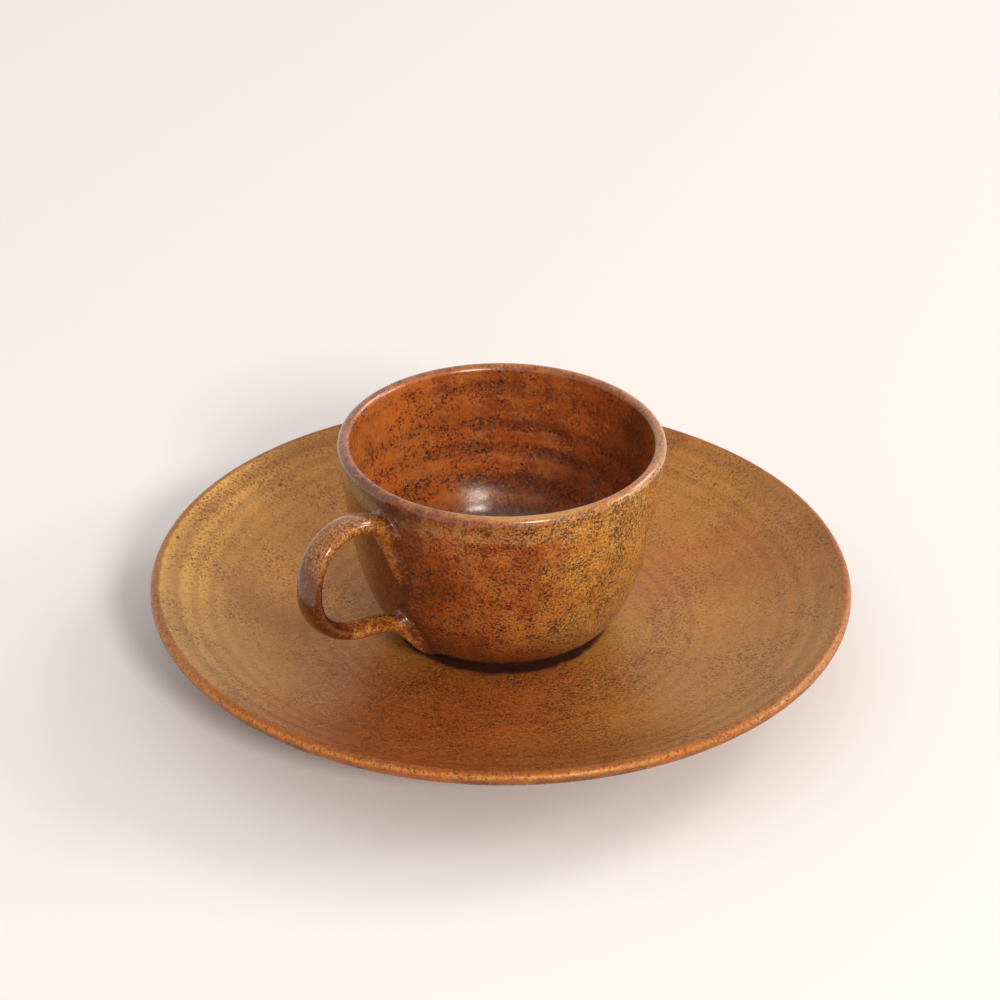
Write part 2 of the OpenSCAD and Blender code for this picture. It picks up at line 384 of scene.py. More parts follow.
def wall_r(height):
    """Radius of the cup's outside at a height above its base."""
    return np.interp(height, OUTSIDE[:, 1], OUTSIDE[:, 0])


def wall_distance(p):
    """Distance outside the cup's wall, with its finger marks."""
    r = np.hypot(p[..., 0], p[..., 1])
    lean = np.interp(p[..., 2], OUTSIDE[:, 1], WALL_SLOPE)
    relief = cup_outside_relief(p[..., 2], np.arctan2(p[..., 1], p[..., 0]) % (2 * math.pi))
    return (r - wall_r(p[..., 2])) / np.sqrt(1 + lean ** 2) + relief


def strap_path():
    """The strap's middle line as distance from the axis and height, its directions and shares along."""
    top = np.array([wall_r(ROOT_TOP * CUP_H), ROOT_TOP * CUP_H])
    side = np.array([CUP_R + HANDLE_REACH - STRAP_THICKS[1] / 2, SIDE_HEIGHT * CUP_H])
    dip = np.array([CUP_R + DIP_REACH * HANDLE_REACH, DIP_HEIGHT * CUP_H])
    low = np.array([wall_r(ROOT_LOW * CUP_H), ROOT_LOW * CUP_H])
    top_way, dip_way, low_way = turned(ROOT_TOP_ANGLE), turned(DIP_ANGLE), turned(ROOT_LOW_ANGLE)
    curves = [
        (top, top + CROWN_PULL * CUP_H * top_way, side + (0, SIDE_PULL_UP * CUP_H), side),
        (side, side - (0, SIDE_PULL_DOWN * CUP_H), dip + DIP_PULL_OUT * HANDLE_REACH * dip_way, dip),
        (dip, dip - DIP_PULL_IN * HANDLE_REACH * dip_way,
         low + ROOT_LOW_PULL * HANDLE_REACH * low_way, low)]
    t = np.linspace(0, 1, STRAP_STEPS, endpoint=False)
    buried_top = top - np.linspace(BURIED, 0, BURIED_STEPS, endpoint=False)[:, None] * top_way
    buried_low = low - np.linspace(0, BURIED, BURIED_STEPS + 1)[1:, None] * low_way
    points = np.vstack([buried_top] + [bezier(c, t) for c in curves] + [[low], buried_low])
    share = np.clip((np.arange(len(points)) - BURIED_STEPS) / (len(curves) * STRAP_STEPS), 0, 1)
    slope = np.gradient(points, axis=0)
    slope /= np.hypot(slope[:, 0], slope[:, 1])[:, None]
    return points, slope, share


STRAP, STRAP_SLOPE, STRAP_SHARE = strap_path()


def between(values, q):
    """A smooth value through the start, middle and end values."""
    a, b, c = values
    return a * (1 - q) * (1 - 2 * q) + 4 * b * q * (1 - q) + c * q * (2 * q - 1)


def flare(q):
    """How much the strap swells near its roots."""
    near = np.clip(1 - np.minimum(q, 1 - q) / FLARE_LENGTH, 0, 1)
    return 1 + FLARE_GAIN * near * near


def oval_distance(a, b, half_a, half_b, power):
    """Distance outside an oval, good near its surface."""
    u, v = np.abs(a) / half_a, np.abs(b) / half_b
    f = np.maximum((u ** power + v ** power) ** (1 / power), 1e-4)
    slope = np.hypot((u / f) ** (power - 1) / half_a, (v / f) ** (power - 1) / half_b)
    return (f - 1) / np.maximum(slope, 1e-6)


def nearest(places, stations):
    """The number of the station nearest to each place, with places as one array for each axis."""
    best = np.full(places[0].shape, 1e9)
    which = np.zeros(places[0].shape, int)
    for i, station in enumerate(stations):
        gap = sum((place - at) ** 2 for place, at in zip(places, station))
        closer = gap < best
        best[closer] = gap[closer]
        which[closer] = i
    return which


def strap_place(out, height):
    """For points in the handle's plane: share along the strap and offset across its thickness."""
    which = nearest((out, height), STRAP)
    dx, dz = out - STRAP[which, 0], height - STRAP[which, 1]
    offset = -dx * STRAP_SLOPE[which, 1] + dz * STRAP_SLOPE[which, 0]
    return STRAP_SHARE[which], offset


def strap_distance(side, q, offset):
    """Distance outside the strap's oval section, its long way across the pull."""
    half_w = between(STRAP_WIDTHS, q) * flare(q) / 2
    half_t = between(STRAP_THICKS, q) * flare(q) / 2
    return oval_distance(side, offset, half_w, half_t, STRAP_POWER)


def tail_path(heights, swings, width):
    """Stations of a clay tail on the wall: middle, directions and half sizes."""
    t = TAIL_END_CUT + (1 - 2 * TAIL_END_CUT) * (1 - np.cos(np.linspace(0, math.pi, TAIL_STEPS))) / 2
    line = bezier([(h * CUP_H, s) for h, s in zip(heights, swings)], t)
    r, swing = wall_r(line[:, 0]), np.radians(line[:, 1])
    middle = np.column_stack([-r * np.cos(swing), -r * np.sin(swing), line[:, 0]])
    run = np.gradient(middle, axis=0)
    run /= np.linalg.norm(run, axis=1)[:, None]
    face = np.column_stack([-np.cos(swing), -np.sin(swing), 0 * swing])
    out = face - np.sum(face * run, axis=1)[:, None] * run
    out /= np.linalg.norm(out, axis=1)[:, None]
    peak = TAIL_RISE ** TAIL_RISE * TAIL_FALL ** TAIL_FALL
    swell = t ** TAIL_RISE * (1 - t) ** TAIL_FALL / peak
    return middle, run, np.cross(run, out), out, swell * width / 2, swell * TAIL_T


TAILS = [
    tail_path(TAIL_TOP_HEIGHTS, TAIL_TOP_SWINGS, TAIL_TOP_W),
    tail_path(TAIL_LOW_HEIGHTS, TAIL_LOW_SWINGS, TAIL_LOW_W)]


def tail_distance(p, tail):
    """Distance outside a tail's tapering ridge."""
    middle, run, across, out, half_w, half_t = tail
    which = nearest((p[..., 0], p[..., 1], p[..., 2]), middle)
    d = p - middle[which]
    along = np.sum(d * run[which], axis=-1)
    a = np.sum(d * across[which], axis=-1)
    o = np.sum(d * out[which], axis=-1)
    half_w, half_t = np.maximum(half_w[which], 0.3), np.maximum(half_t[which], 0.2)
    oval = oval_distance(a, o, half_w, half_t, TAIL_POWER)
    past = np.abs(along) - TAIL_GAP
    return np.where(oval > 0, np.hypot(oval, np.maximum(past, 0)), np.maximum(oval, past))


def melt(a, b, reach):
    """The smaller of two distances, rounded where they meet."""
    h = np.maximum(reach - np.abs(a - b), 0) / reach
    return np.minimum(a, b) - h * h * reach / 4


def handle_field(p, place=None):
    """The handle with its fillets, cut off just under the wall's surface."""
    q, offset = place if place is not None else strap_place(-p[..., 0], p[..., 2])
    clay = strap_distance(p[..., 1], q, offset)
    for tail in TAILS:
        clay = melt(clay, tail_distance(p, tail), STRAP_FILLET)
    wall = wall_distance(p)
    skin_on_wall = np.maximum(melt(clay, wall, WALL_FILLET), -(wall + SINK))
    return np.maximum(skin_on_wall, clay - SPREAD)


def settle(points):
    """One step of each point towards the field's surface."""
    small, least_slope, longest = 0.02, 0.25, 0.2
    value = handle_field(points)
    slope = np.empty_like(points)
    for k in range(3):
        step = np.zeros(3)
        step[k] = small
        slope[:, k] = (handle_field(points + step) - handle_field(points - step)) / (2 * small)
    size = np.maximum(np.sum(slope ** 2, axis=1), least_slope)
    move = -value[:, None] * slope / size[:, None]
    length = np.linalg.norm(move, axis=1)
    return points + move * np.minimum(1, longest / np.maximum(length, 1e-9))[:, None]


def pulled_handle():
    """Meshes the handle's field and settles every point onto it."""
    counts = np.ceil((FIELD_HIGH - FIELD_LOW) / VOXEL).astype(int)
    axes = [FIELD_LOW[k] + VOXEL * np.arange(counts[k]) for k in range(3)]
    out, height = np.meshgrid(-axes[0], axes[2], indexing="ij")
    place = strap_place(out, height)
    field = np.empty(counts, np.float32)
    for j, y in enumerate(axes[1]):
        p = np.stack([-out, np.full(out.shape, y), height], axis=-1)
        field[:, j, :] = handle_field(p, place)
    grid = openvdb.FloatGrid(float(field.max()))
    grid.copyFromArray(field)
    points, quads = grid.convertToQuads(isovalue=0.0)[:2]
    points = FIELD_LOW + VOXEL * np.asarray(points, float)
    for _ in range(SETTLING_STEPS):
        points = settle(points)
    points[:, 2] += SEAT_Z
    return make_object("pulled_handle", points, np.asarray(quads).tolist())


# Masks kept on the points, for the glazes to read

def keep_mask(piece, name, values):
    """Stores one number for each point under a name."""
    store = piece.data.attributes.new(name, "FLOAT", "POINT")
    store.data.foreach_set("value", np.asarray(values, np.float32))


def round_the_wheel(values, sides):
    """One value for each ring of a turned piece, repeated for its points."""
    return np.concatenate([values[:1], np.repeat(values[1:-1], sides), values[-1:]])


def read_points(piece, what="co"):
    """The points' places in metres, or their normals, as rows of three numbers."""
    values = np.empty(3 * len(piece.data.vertices))
    piece.data.vertices.foreach_get(what, values)
    return values.reshape(-1, 3)


def wheel_places(piece):
    """Radius, height and angle of every point."""
    x, y, z = read_points(piece).T / MM
    return np.hypot(x, y), z, np.arctan2(y, x) % (2 * math.pi)


def curvature(piece, passes):
    """How much the surface bulges at each point, smoothed, in 1/mm."""
    mesh = piece.data
    count = len(mesh.vertices)
    places, normals = read_points(piece) / MM, read_points(piece, "normal")
    ends = np.empty(2 * len(mesh.edges), int)
    mesh.edges.foreach_get("vertices", ends)
    a, b = ends.reshape(-1, 2).T
    near = np.maximum(np.bincount(a, minlength=count) + np.bincount(b, minlength=count), 1)

    def gathered(of_b, of_a):
        return (np.bincount(a, of_b, count) + np.bincount(b, of_a, count)) / near

    step = places[b] - places[a]
    squared = np.maximum(np.sum(step ** 2, axis=1), 1e-9)
    of_b = -np.sum(step * normals[a], axis=1) / squared
    of_a = np.sum(step * normals[b], axis=1) / squared
    bulge = gathered(of_b, of_a)
    for _ in range(passes):
        bulge = (bulge + gathered(bulge[b], bulge[a])) / 2
    return 2 * bulge


# Short names for the nodes of one glaze

def linear(red, green, blue):
    """An sRGB colour, from 0 to 255, as the shader's linear values."""
    def level(value):
        share = value / 255
        return ((share + 0.055) / 1.055) ** 2.4 if share > 0.04 else share / 12.92
    return (level(red), level(green), level(blue), 1.0)


class Glaze:
    """One material and the nodes in it. Sizes and places are in millimetres."""

    def __init__(self, name):
        self.material = bpy.data.materials.new(name)
        self.material.use_nodes = True
        self.tree = self.material.node_tree
        self.shader = self.tree.nodes["Principled BSDF"]
        self.seed = 0.0
        coords = self.tree.nodes.new("ShaderNodeTexCoord")
        scaled = self.node("ShaderNodeVectorMath", operation="SCALE")
        self.put(scaled.inputs[0], coords.outputs["Object"])
        self.put(scaled.inputs["Scale"], 1 / MM)
        self.place = scaled.outputs[0]
        split = self.node("ShaderNodeSeparateXYZ")
        self.put(split.inputs[0], self.place)
        self.x, self.y, self.z = split.outputs
        self.normal = None

    def node(self, kind, **settings):
        made = self.tree.nodes.new(kind)
        for name, value in settings.items():
            setattr(made, name, value)
        return made

    def put(self, socket, value):
        """Links an output to the socket, or sets the socket's own value."""
        if isinstance(value, bpy.types.NodeSocket):
            self.tree.links.new(value, socket)
        else:
            socket.default_value = value

    def math(self, operation, a, b=0.0, c=0.0):
        made = self.node("ShaderNodeMath", operation=operation)
        for socket, value in zip(made.inputs, (a, b, c)):
            self.put(socket, value)
        return made.outputs[0]

    def mask(self, name):
        return self.node("ShaderNodeAttribute", attribute_name=name).outputs["Fac"]

    def ramp(self, value, low, high, start=0.0, end=1.0):
        """An even S from start at low to end at high."""
        made = self.node("ShaderNodeMapRange", interpolation_type="SMOOTHSTEP")
        for socket, number in zip(made.inputs, (value, low, high, start, end)):
            self.put(socket, number)
        return made.outputs[0]

    def band(self, value, low, high, blur):
        """1 between low and high, with soft ends."""
        rise = self.ramp(value, low - blur, low + blur)
        return self.times(rise, self.ramp(value, high - blur, high + blur, 1, 0))

    def times(self, *values):
        product = values[0]
        for value in values[1:]:
            product = self.math("MULTIPLY", product, value)
        return product

    def plus(self, a, b, share=1.0):
        """The first value and a share of the second."""
        return self.math("MULTIPLY_ADD", b, share, a)

    def stretched(self, x, y, z):
        made = self.node("ShaderNodeVectorMath", operation="MULTIPLY")
        self.put(made.inputs[0], self.place)
        self.put(made.inputs[1], (x, y, z))
        return made.outputs[0]

    def elsewhere(self, place):
        """The place moved far away, so that no two patterns are alike."""
        self.seed += 1
        made = self.node("ShaderNodeVectorMath", operation="ADD")
        self.put(made.inputs[0], place or self.place)
        self.put(made.inputs[1], (211.3 * self.seed, -97.7 * self.seed, 53.9 * self.seed))
        return made.outputs[0]

    def noise(self, size, detail=2.0, rough=0.5, place=None):
        """Cloudy values about 0.5, with forms about this many millimetres across."""
        made = self.node("ShaderNodeTexNoise")
        sockets = {"Vector": self.elsewhere(place), "Scale": 1 / size, "Detail": detail, "Roughness": rough}
        for name, value in sockets.items():
            self.put(made.inputs[name], value)
        return made.outputs[0]

    def clouds(self, size, low, high, start=0.0, end=1.0, detail=3.0, rough=0.5, place=None):
        """Patches of noise: start where it is under low, and end where it is over high."""
        return self.ramp(self.noise(size, detail, rough, place), low, high, start, end)

    def wavering(self, value, size, reach):
        """A value pushed up unevenly by up to this reach, so that its edges waver."""
        return self.plus(value, self.noise(size), reach)

    def swaying(self, value, size, reach):
        """The same, pushed up and down alike."""
        return self.plus(value, self.math("SUBTRACT", self.noise(size), 0.5), reach)

    def dots(self, spacing, inner, outer, uneven=0.5):
        """Round spots: 1 inside the inner share of a cell and 0 past the outer one. Some stay empty."""
        made = self.node("ShaderNodeTexVoronoi")
        for name, value in {"Vector": self.elsewhere(None), "Scale": 1 / spacing}.items():
            self.put(made.inputs[name], value)
        chance = self.node("ShaderNodeSeparateColor")
        self.put(chance.inputs[0], made.outputs["Color"])
        reach = self.plus(made.outputs["Distance"], chance.outputs[0], uneven)
        return self.ramp(reach, inner, outer, 1, 0)

    def mix(self, share, below, above):
        """One colour over another. Sockets 6 and 7 and output 2 are the node's colour ones."""
        made = self.node("ShaderNodeMix", data_type="RGBA")
        for index, value in ((0, share), (6, below), (7, above)):
            self.put(made.inputs[index], value)
        return made.outputs[2]

    def bump(self, height, depth):
        """Adds relief of this depth in millimetres to the shader's normal."""
        made = self.node("ShaderNodeBump")
        self.put(made.inputs["Distance"], depth * MM)
        self.put(made.inputs["Height"], height)
        if self.normal:
            self.put(made.inputs["Normal"], self.normal)
        self.normal = made.outputs[0]

    def finish(self, colour, rough, **settings):
        self.put(self.shader.inputs["Base Color"], colour)
        self.put(self.shader.inputs["Roughness"], rough)
        self.put(self.shader.inputs["Normal"], self.normal)
        for name, value in settings.items():
            self.put(self.shader.inputs[name.replace("_", " ")], value)
        return self.material


RUST_DARK = linear(86, 36, 15)
RUST = linear(144, 68, 24)
ORANGE = linear(198, 92, 26)
OCHRE = linear(206, 136, 48)
TAN = linear(182, 126, 62)
STRAW = linear(226, 176, 92)
PURPLE = linear(58, 28, 30)
BLACK_BROWN = linear(44, 26, 20)
ASH = linear(150, 140, 112)
SLATE = linear(92, 88, 66)
SLATE_DARK = linear(64, 58, 44)
CLAY = linear(178, 140, 102)
CLAY_DARK = linear(128, 92, 62)
SIENNA = linear(172, 96, 46)
BROWN = linear(112, 58, 28)
OLIVE = linear(176, 134, 62)
WARM_SHEEN = linear(255, 226, 164)
SOFT_SHEEN = linear(255, 238, 208)


# Places on the pieces, as the glazes see them

def axis_distance(g):
    return g.math("SQRT", g.plus(g.times(g.x, g.x), g.times(g.y, g.y)))


def rightwards(g):
    """Grows towards the camera's right, 1.41 for each millimetre."""
    return g.math("SUBTRACT", g.x, g.y)


def backwards(g):
    """Grows away from the camera, 1.41 for each millimetre."""
    return g.plus(g.x, g.y)


def side_of(g):
    """From -1 at the camera's left to 1 at its right, round the axis."""
    diagonal = 0.7071
    return g.times(g.math("DIVIDE", rightwards(g), axis_distance(g)), diagonal)


def swing_of(g):
    """Degrees round the axis from the handle, towards -Y."""
    back_x, back_y = g.times(g.x, -1.0), g.times(g.y, -1.0)
    return g.times(g.math("ARCTAN2", back_y, back_x), 180 / math.pi)


# What the glazes have in common. Each call of noise, clouds, wavering, swaying and dots
# takes the next pattern of its glaze, so the order of the calls sets the patterns.

def peppered(g, colour, speck, cloud, thin=0.35, size=0.95, more=0.0):
    """Fine specks over a colour, in clouds that run from thin to dense."""
    dense = g.clouds(cloud, 0.38, 0.62, thin, 1.0, 2.0, 0.6)
    crowd = g.plus(g.noise(size, 3.0, 0.7), dense, 0.05)
    fine = g.ramp(g.plus(crowd, more, 0.04), 0.56, 0.62)
    round_ones = g.dots(1.5 * size, 0.30, 0.42, 0.6)
    specks = g.math("MAXIMUM", g.times(fine, 0.8), round_ones)
    return g.mix(g.times(specks, dense), colour, speck)


def flecked(g, colour, fleck, share, size=0.85):
    """Small bright flecks, where the glaze is thin over grit."""
    return g.mix(g.clouds(size, 0.55, 0.66, 0, share, rough=0.65), colour, fleck)


def dotted(g, colour, dot, spacing, share):
    """Sparse round iron spots of uneven size."""
    return g.mix(g.times(g.dots(spacing, 0.10, 0.20, 0.8), share), colour, dot)


def skin(g, strength=1.0):
    """The satin skin of the glaze: soft waves, grain and pinholes."""
    g.bump(g.noise(3.2, 2.0, 0.5), 0.12 * strength)
    g.bump(g.noise(1.2, 3.0, 0.6), 0.07 * strength)
    g.bump(g.dots(2.6, 0.04, 0.10, 0.5), -0.06 * strength)


def satin(g, smoothest, roughest):
    """The roughness of the glaze, in small clouds."""
    return g.clouds(1.4, 0.35, 0.65, smoothest, roughest)


def lip_colour(g, base, broken):
    """Thin glaze broken over an edge: a base with lighter breaks, orange patches and brown freckles."""
    lip = g.mix(g.clouds(1.1, 0.40, 0.62, 0, 0.8, rough=0.6), base, broken)
    lip = g.mix(g.clouds(6.0, 0.42, 0.60, 0, 0.3, 2.0), lip, ORANGE)
    return peppered(g, lip, RUST_DARK, 5.0, 0.7, 0.8)


def bare_clay(g, colour, foot):
    """The unglazed foot, with a wavering edge. Returns the colour and where it is bare."""
    bare = g.ramp(g.wavering(foot, 3.0, 0.6), 0.6, 0.9)
    return g.mix(bare, colour, g.mix(g.noise(0.9, 3.0), CLAY_DARK, CLAY)), bare


# The cup's glaze

def cup_outer_clouds(g, down, side, lit_gold_side):
    """Painted shade and light: dark rust on the camera's left, turned from the light, to lit gold on its
    right, with painted shade low down; thin glaze below the lip.
    """
    # Painted shade towards the camera's left, and lighter sienna towards its right where the light falls.
    colour = g.mix(g.ramp(side, -1.0, -0.1), g.mix(0.3, RUST_DARK, RUST), RUST)
    colour = g.mix(g.ramp(side, -0.3, 0.5, 0, 0.85), colour, SIENNA)
    gold = g.mix(g.clouds(7.0, 0.42, 0.62, 0, 0.35), OCHRE, STRAW)
    # Painted light: lit gold on the side that faces the light.
    colour = g.mix(lit_gold_side, colour, gold)
    flow = g.clouds(2.2, 0.40, 0.64, rough=0.6, place=g.stretched(1, 1, 0.22))
    centre = g.band(side, -0.4, 0.3, 0.35)
    colour = g.mix(g.times(flow, g.plus(0.15, centre, 0.25)), colour, ORANGE)
    colour = g.mix(g.clouds(9.0, 0.50, 0.66, 0, 0.3, rough=0.6), colour, RUST)
    pale = g.mix(g.ramp(side, -0.5, 0.3), SIENNA, TAN)
    colour = g.mix(g.clouds(12.0, 0.44, 0.62, 0.1, 0.55, rough=0.6), colour, pale)
    # Painted shade: darker rust low down on the wall.
    low = g.ramp(g.wavering(g.z, 10.0, 10.0), SEAT_Z + 25.0, SEAT_Z + 9.0, 0, 0.65)
    colour = g.mix(low, colour, RUST_DARK)
    thin = g.band(g.wavering(down, 5.0, 2.5), 4.2, 9.0, 1.2)
    thin = g.times(thin, g.clouds(6.0, 0.38, 0.6, 0.3, 0.85))
    return g.mix(thin, colour, g.mix(lit_gold_side, TAN, gold))


def cup_shade_behind_handle(g, colour, swing):
    """Painted shade: darker rust with black-brown specks behind the handle, on the flank turned from the
    light.
    """
    # Painted shade behind the handle.
    behind = g.band(swing, -60.0, 30.0, 14.0)
    dark = peppered(g, RUST_DARK, BLACK_BROWN, 5.0, 0.4, 0.8)
    return g.mix(g.times(behind, 0.7), colour, flecked(g, dark, SIENNA, 0.6))


def cup_specks(g, colour, lit_gold_side):
    """Flecks, slate and purple specks, and round spots."""
    colour = flecked(g, colour, g.mix(lit_gold_side, ORANGE, STRAW), 0.35)
    dark = g.mix(lit_gold_side, g.mix(0.5, BLACK_BROWN, RUST_DARK), SLATE_DARK)
    colour = peppered(g, colour, dark, 7.0, 0.6, 0.55, lit_gold_side)
    colour = peppered(g, colour, RUST_DARK, 4.0, 0.2, 0.8)
    colour = peppered(g, colour, PURPLE, 3.0, 0.1, 0.7)
    return dotted(g, colour, PURPLE, 2.4, 0.5)


def cup_pools_and_foot_shade(g, colour, down, side, swing):
    """Purple low on the wall by the foot, as painted shade where the cup meets the saucer; purple where the
    glaze pools below the lip, and a grey blush by the handle.
    """
    # Painted shade: purple low on the wall by the foot.
    foot_shade = g.ramp(g.wavering(g.z, 3.0, 1.5), SEAT_Z + 7.0, SEAT_Z + 4.2, 0, 0.9)
    colour = g.mix(foot_shade, colour, PURPLE)
    under_lip = g.band(g.wavering(down, 3.0, 1.6), 3.4, 5.4, 0.7)
    patchy = g.clouds(12.0, 0.36, 0.6, detail=2.0)
    under_lip = g.times(under_lip, patchy, g.ramp(side, 0.1, -0.6, 0.05, 0.65))
    colour = g.mix(under_lip, colour, PURPLE)
    height = g.band(g.wavering(down, 4.0, 2.4), 3.6, 8.4, 0.9)
    beside = g.band(swing, -58.0, 12.0, 12.0)
    blush = g.times(beside, height, g.clouds(7.0, 0.36, 0.58, 0.1, 0.65, 2.0))
    return g.mix(blush, colour, peppered(g, ASH, SLATE, 5.0, 0.4))


def cup_outer_colour(g, down, side):
    # The side that faces the light, painted lit gold.
    lit_gold_side = g.ramp(side, -0.15, 0.8)
    colour = cup_outer_clouds(g, down, side, lit_gold_side)
    swing = g.wavering(swing_of(g), 9.0, 30.0)
    colour = cup_shade_behind_handle(g, colour, swing)
    colour = cup_specks(g, colour, lit_gold_side)
    return cup_pools_and_foot_shade(g, colour, down, side, swing)


def cup_inner_colour(g, down, side):
    """Rust orange, with dark spots crowding into the finger marks; painted shade on the camera's right of
    the inside and painted light on its left.
    """
    ring = g.ramp(g.wavering(g.mask("ring"), 5.0, 0.7), 0.55, 1.15)
    flat = g.stretched(1, 1, 2.2)
    colour = g.mix(g.clouds(6.0, 0.40, 0.62, rough=0.6, place=flat), RUST, SIENNA)
    colour = g.mix(g.times(ring, 0.65), colour, RUST_DARK)
    # Painted shade on the inside wall towards the camera's right.
    colour = g.mix(g.ramp(side, 0.2, 0.9, 0, 0.8), colour, RUST_DARK)
    # Painted light on the inside wall towards the camera's left.
    colour = g.mix(g.ramp(side, 0.0, -0.9, 0, 0.6), colour, g.mix(0.4, ORANGE, TAN))
    colour = g.mix(g.clouds(11.0, 0.44, 0.62, 0, 0.3), colour, ORANGE)
    colour = flecked(g, colour, TAN, 0.4, 1.0)
    spots = g.ramp(g.plus(g.noise(1.1, 3.0, 0.6), ring, 0.05), 0.56, 0.63, 0, 0.7)
    spots = g.math("MAXIMUM", spots, g.dots(1.5, 0.28, 0.38, 0.45))
    colour = g.mix(g.times(spots, g.plus(0.35, ring, 0.6)), colour, PURPLE)
    colour = peppered(g, colour, PURPLE, 6.0, 0.2, 0.7)
    near_rim = g.ramp(down, 22, 6, 0.0, 0.7)
    return g.mix(g.times(g.dots(4.4, 0.08, 0.17, 0.3), near_rim), colour, ASH)


def cup_lip_colour(g, side):
    """Painted shade: darker on the camera's left. Painted highlight: palest at the front."""
    # Painted shade towards the camera's left of the lip, lighter towards its right.
    base = g.mix(g.ramp(side, -0.8, 0.5), RUST_DARK, SIENNA)
    broken = g.mix(g.ramp(side, -0.9, 0.3), SIENNA, TAN)
    # Painted highlight: straw at the front of the lip.
    in_front = g.times(g.ramp(backwards(g), 0.0, -30.0), g.band(side, -0.5, 0.5, 0.3))
    return g.mix(g.times(in_front, 0.4), lip_colour(g, base, broken), STRAW)


def cup_glaze():
    g = Glaze("cup_glaze_speckled_ochre")
    down = g.mask("down")
    uneven = g.math("SUBTRACT", g.noise(15.0, 3.0, 0.55), 0.5)
    side = g.plus(side_of(g), uneven, 2.2)
    outer = cup_outer_colour(g, down, side)
    colour = g.mix(g.mask("inside"), outer, cup_inner_colour(g, down, side))
    at_lip = g.ramp(g.wavering(down, 2.4, 1.6), 2.3, 1.4, 0, 0.85)
    colour = g.mix(at_lip, colour, cup_lip_colour(g, side))
    colour, bare = bare_clay(g, colour, g.mask("foot"))
    skin(g)
    rough = g.plus(satin(g, 0.22, 0.34), bare, 0.4)
    return g.finish(
        colour, rough, IOR=1.4, Specular_Tint=SOFT_SHEEN, Coat_Weight=0.85, Coat_Roughness=0.24)


# The saucer's glaze

def saucer_clouds(g):
    """Rust and tan clouds, with painted sheen in tan and straw towards the camera's left. Returns the
    colour and where the darker rust zone at the front is, partly the glaze's own rust and partly painted
    reflection of the dark cup.
    """
    broad = g.plus(g.noise(30.0, 3.0, 0.55), g.noise(10.0, 3.0, 0.6), 0.5)
    colour = g.mix(g.ramp(broad, 0.5, 1.0, 0.5, 1.0), RUST, TAN)
    colour = g.mix(g.clouds(40.0, 0.48, 0.68, 0, 0.25, 2.0), colour, ORANGE)
    across = g.plus(g.wavering(rightwards(g), 30.0, 60.0), -30.0)
    # Painted sheen: tan and straw towards the camera's left.
    colour = g.mix(g.ramp(across, -20.0, -90.0, 0, 0.5), colour, TAN)
    colour = g.mix(g.ramp(across, -75.0, -115.0, 0, 0.6), colour, STRAW)
    # Darker rust at the front: partly the glaze's own rust, partly painted reflection of the dark cup.
    deep_rust_and_reflection = g.times(g.ramp(backwards(g), -8.0, -45.0), g.band(across, -62.0, 50.0, 24.0))
    colour = g.mix(g.times(deep_rust_and_reflection, 0.8), colour, RUST)
    near = g.ramp(backwards(g), 20.0, -40.0)
    colour = g.mix(g.times(near, g.ramp(across, 0.0, 45.0, 0, 0.45)), colour, OLIVE)
    ring = g.ramp(g.wavering(g.mask("ring"), 6.0, 0.9), 0.7, 1.4, 0, 0.22)
    return g.mix(ring, colour, RUST_DARK), deep_rust_and_reflection


def saucer_specks(g, colour, deep_rust_and_reflection):
    """Orange and straw flecks, brown specks, denser dark ones in the darker rust zone at the front, and
    round spots.
    """
    colour = flecked(g, colour, ORANGE, 0.45, 1.1)
    colour = flecked(g, colour, STRAW, 0.2)
    colour = peppered(g, colour, BROWN, 14.0, 0.45, 0.7)
    fiery = flecked(g, colour, ORANGE, 0.5)
    fiery = peppered(g, fiery, g.mix(0.5, BLACK_BROWN, RUST_DARK), 6.0, 0.5, 0.6)
    colour = g.mix(deep_rust_and_reflection, colour, fiery)
    colour = dotted(g, colour, PURPLE, 2.4, 0.6)
    return dotted(g, colour, BLACK_BROWN, 4.2, 0.8)


def saucer_contact_shadow(g, colour):
    """Painted shadow: a dark ring on the dish round the cup's foot, where the cup stands."""
    # Painted shadow round the cup's foot.
    pooled_glaze_and_shadow = g.band(g.wavering(axis_distance(g), 4.0, 2.0), 21.0, 26.4, 0.8)
    return g.mix(g.times(pooled_glaze_and_shadow, 0.95), colour, g.mix(g.noise(3.0), BLACK_BROWN, PURPLE))


def saucer_edges(g, colour, edge):
    """A darker band in the groove, a sooty one inside the lip, and the broken lip itself."""
    in_groove = g.band(g.wavering(edge, 5.0, 2.0), 5.0, 9.0, 1.4)
    colour = g.mix(g.times(in_groove, 0.25), colour, RUST_DARK)
    edge = g.swaying(edge, 3.0, 1.2)
    colour = g.mix(g.ramp(edge, 3.4, 2.6, 0, 0.7), colour, peppered(g, RUST, BLACK_BROWN, 5.0, 0.6))
    return g.mix(g.band(edge, 0.4, 1.5, 0.45), colour, lip_colour(g, SIENNA, TAN))


def saucer_under_colour(g):
    below = g.mix(g.clouds(9.0, 0.4, 0.62), RUST_DARK, RUST)
    return peppered(g, flecked(g, below, OCHRE, 0.4), SLATE, 7.0)


def saucer_glaze():
    g = Glaze("saucer_glaze_satin_rust")
    colour, deep_rust_and_reflection = saucer_clouds(g)
    colour = saucer_specks(g, colour, deep_rust_and_reflection)
    # Painted shadow where the cup stands on the saucer.
    colour = saucer_contact_shadow(g, colour)
    colour = saucer_edges(g, colour, g.mask("edge"))
    colour = g.mix(g.mask("under"), colour, saucer_under_colour(g))
    colour, bare = bare_clay(g, colour, g.mask("foot"))
    skin(g)
    rough = g.plus(satin(g, 0.34, 0.46), bare, 0.35)
    return g.finish(colour, rough, IOR=1.6, Specular_Tint=WARM_SHEEN)


# The handle's glaze

